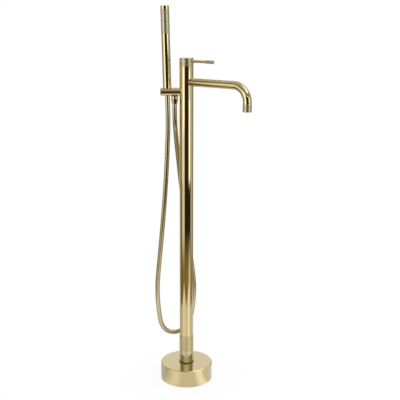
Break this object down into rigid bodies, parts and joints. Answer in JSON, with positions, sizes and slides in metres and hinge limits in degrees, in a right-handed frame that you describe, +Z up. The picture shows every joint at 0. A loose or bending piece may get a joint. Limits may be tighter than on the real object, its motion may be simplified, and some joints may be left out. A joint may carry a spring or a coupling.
{
  "type": "floor standing bath filler",
  "caption": "Floor standing bath filler: round base, slim column, side spout, lever cap, and a pencil handset on a hose in a level holder.",
  "frame": {"origin": "centre of the floor flange's underside, on the column's axis, at floor level", "axes": "+Z up along the column, +X from the column towards the spout's outlet"},
  "size_m": [0.3214, 0.155, 1.1087],
  "materials": {
    "polished_brass": "polished, pale gold",
    "knurled_brass": "fine diamond knurl, pale gold",
    "plain_brass": "machined",
    "steel": "zinc plated",
    "copper": "drawn copper tube",
    "rubber": "moulded",
    "plastic": "moulded",
    "hose_metal": "wound strip, pale gold"
  },
  "bodies": {
    "stand": {"base_cover": "polished_brass", "column_tube": "polished_brass", "cover_ring": "polished_brass", "foot_neck": "polished_brass", "spout_tube": "polished_brass", "holder_arm": "polished_brass", "hose_nut": "polished_brass", "diverter_collar": "polished_brass", "foot_sleeve": "knurled_brass", "outlet_sleeve": "knurled_brass", "inlet_block": "plain_brass", "valve_body": "plain_brass", "gland_nut": "plain_brass", "spout_nipple": "plain_brass", "holder_stud": "plain_brass", "outlet_nipple": "plain_brass", "outlet_barb": "plain_brass", "diverter_cartridge": "plain_brass", "floor_flange": "steel", "block_screws": "steel", "column_set_screws": "steel", "hot_pipe": "copper", "cold_pipe": "copper", "spout_seal": "rubber", "outlet_washer": "rubber", "mixing_cartridge": "plastic", "aerator": "plastic", "holder_liner": "plastic", "shower_hose": "hose_metal"},
    "lever": {"cartridge_spindle": "plain_brass", "handle_cap": "knurled_brass", "cap_set_screw": "steel", "lever_rod": "polished_brass", "lever_tip": "knurled_brass"},
    "diverter": {"diverter_spindle": "plain_brass", "diverter_knob": "knurled_brass"},
    "hose_end": {"hose_swivel": "plain_brass"},
    "handset": {"handset_tube": "polished_brass", "handset_grip": "knurled_brass", "handset_ring": "polished_brass", "spray_face": "plastic", "handset_waterway": "plastic", "non_return_valve": "plastic", "cone_nut": "plain_brass", "tail_washer": "rubber"}
  },
  "joints": [
    {"name": "lever_turn", "type": "hinge", "parent": "stand", "child": "lever", "pos_m": [0, 0, 0.9423], "axis": [0, 0, 1], "range_deg": [0, 100]},
    {"name": "diverter_turn", "type": "hinge", "parent": "stand", "child": "diverter", "pos_m": [-0.01768, 0.01768, 0.8715], "axis": [-0.7071, 0.7071, 0], "range_deg": [0, 90]},
    {"name": "handset_lift", "type": "slide", "parent": "stand", "child": "hose_end", "axis": [-0.0185, -0.0185, 0.9997], "range_m": [0, 0.06], "deforming": ["shower_hose"]},
    {"name": "handset_turn", "type": "hinge", "parent": "hose_end", "child": "handset", "pos_m": [-0.0384, -0.0384, 0.882], "axis": [-0.0185, -0.0185, 0.9997], "continuous": true}
  ]
}
